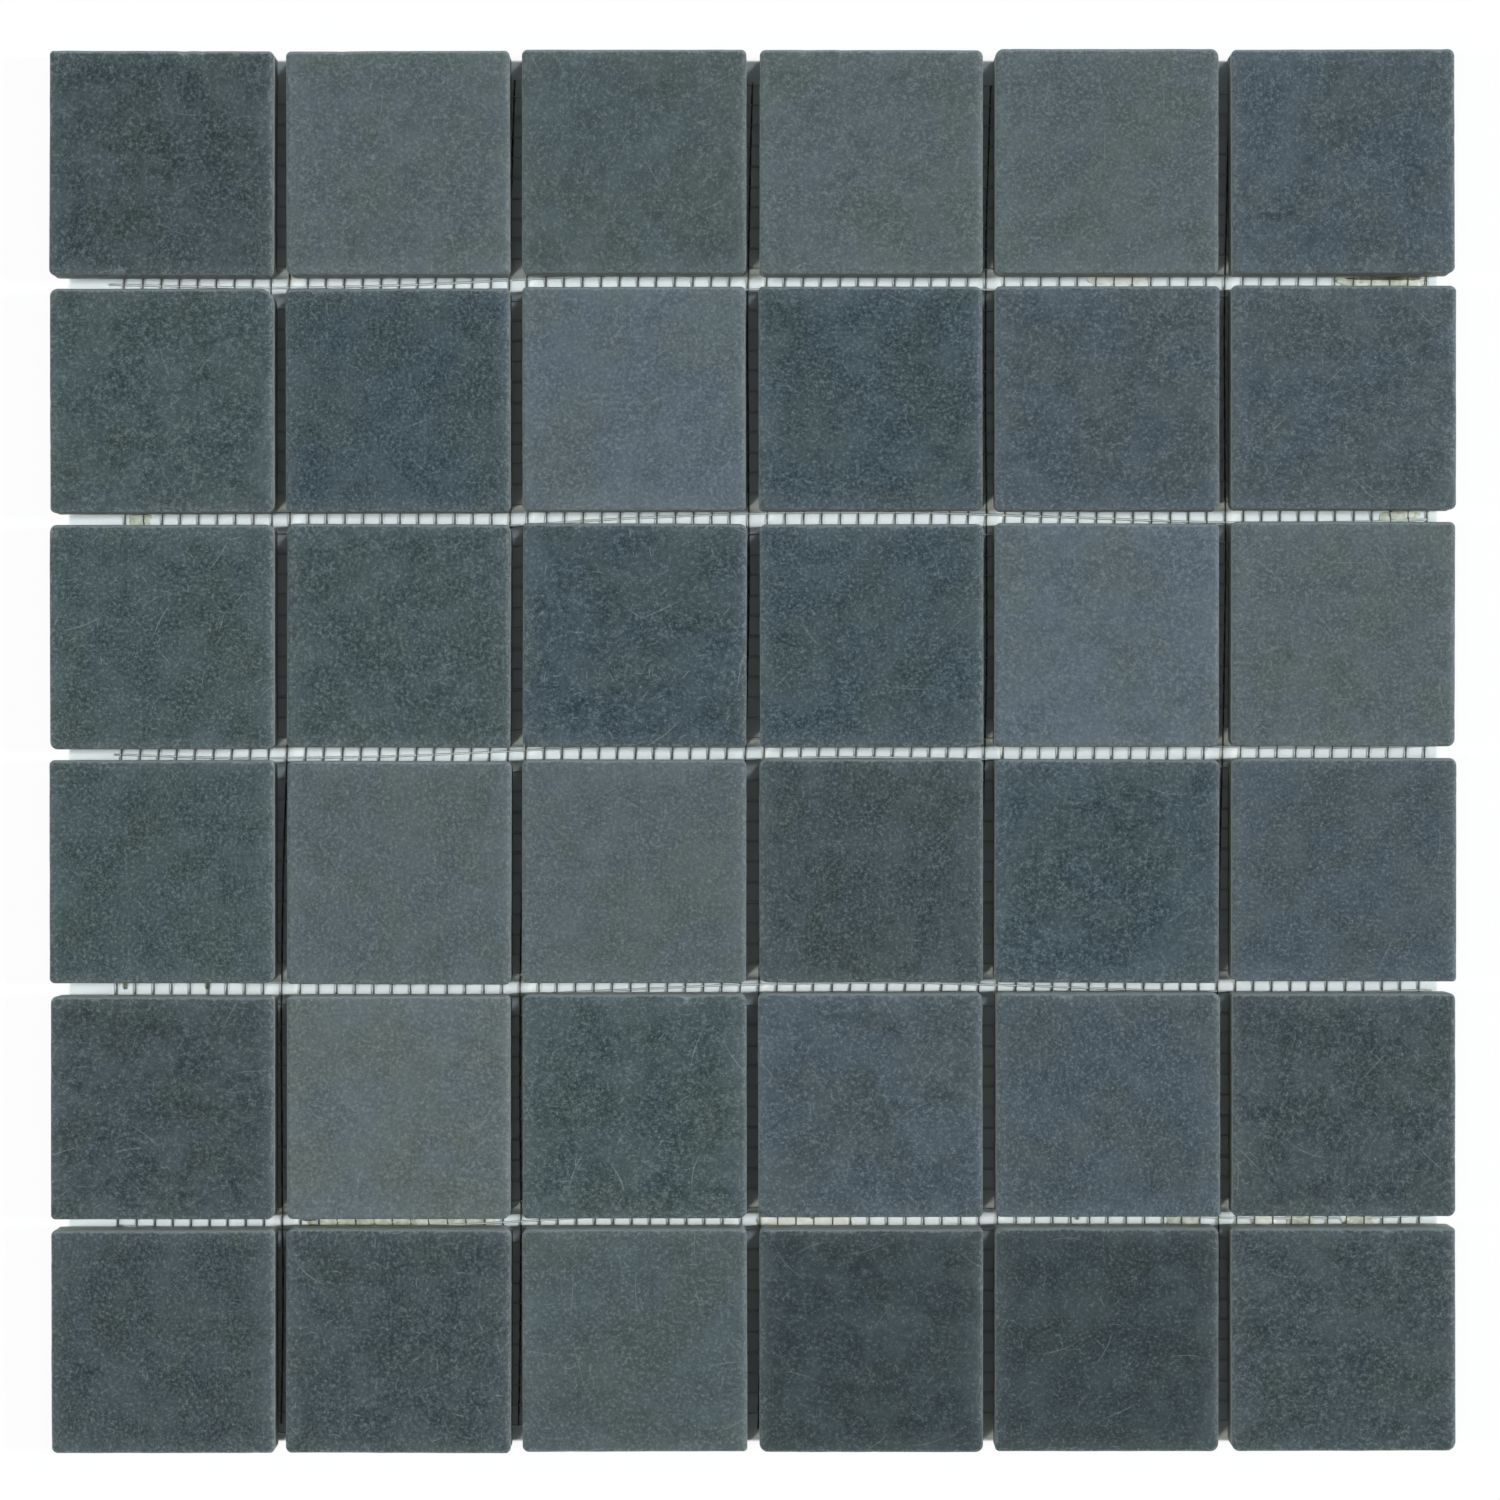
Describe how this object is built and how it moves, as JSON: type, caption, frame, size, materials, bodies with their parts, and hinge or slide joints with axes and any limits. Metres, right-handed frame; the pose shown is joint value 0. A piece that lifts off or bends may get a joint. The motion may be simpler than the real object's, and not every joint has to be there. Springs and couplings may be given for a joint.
{
  "type": "mosaic tile sheet",
  "caption": "Square sheet of dark stone mosaic chips with worn edges, held in a grid by a fibre net stuck to their backs.",
  "frame": {"origin": "under the middle of the sheet, on the plane that the back of its net lies on", "axes": "+Z out of the finished face, +X across the sheet, +Y up the sheet as pictured; the sheet lies flat, net down"},
  "size_m": [0.3012, 0.3005, 0.0106],
  "materials": {
    "stone_chips": "matte",
    "net_warp": "matte",
    "net_weft": "matte"
  },
  "bodies": {
    "root": {"chip_r1_c1": "stone_chips", "chip_r1_c2": "stone_chips", "chip_r1_c3": "stone_chips", "chip_r1_c4": "stone_chips", "chip_r1_c5": "stone_chips", "chip_r1_c6": "stone_chips", "chip_r2_c1": "stone_chips", "chip_r2_c2": "stone_chips", "chip_r2_c3": "stone_chips", "chip_r2_c4": "stone_chips", "chip_r2_c5": "stone_chips", "chip_r2_c6": "stone_chips", "chip_r3_c1": "stone_chips", "chip_r3_c2": "stone_chips", "chip_r3_c3": "stone_chips", "chip_r3_c4": "stone_chips", "chip_r3_c5": "stone_chips", "chip_r3_c6": "stone_chips", "chip_r4_c1": "stone_chips", "chip_r4_c2": "stone_chips", "chip_r4_c3": "stone_chips", "chip_r4_c4": "stone_chips", "chip_r4_c5": "stone_chips", "chip_r4_c6": "stone_chips", "chip_r5_c1": "stone_chips", "chip_r5_c2": "stone_chips", "chip_r5_c3": "stone_chips", "chip_r5_c4": "stone_chips", "chip_r5_c5": "stone_chips", "chip_r5_c6": "stone_chips", "chip_r6_c1": "stone_chips", "chip_r6_c2": "stone_chips", "chip_r6_c3": "stone_chips", "chip_r6_c4": "stone_chips", "chip_r6_c5": "stone_chips", "chip_r6_c6": "stone_chips", "net_warp_yarns": "net_warp", "net_weft_yarns": "net_weft"}
  },
  "joints": []
}
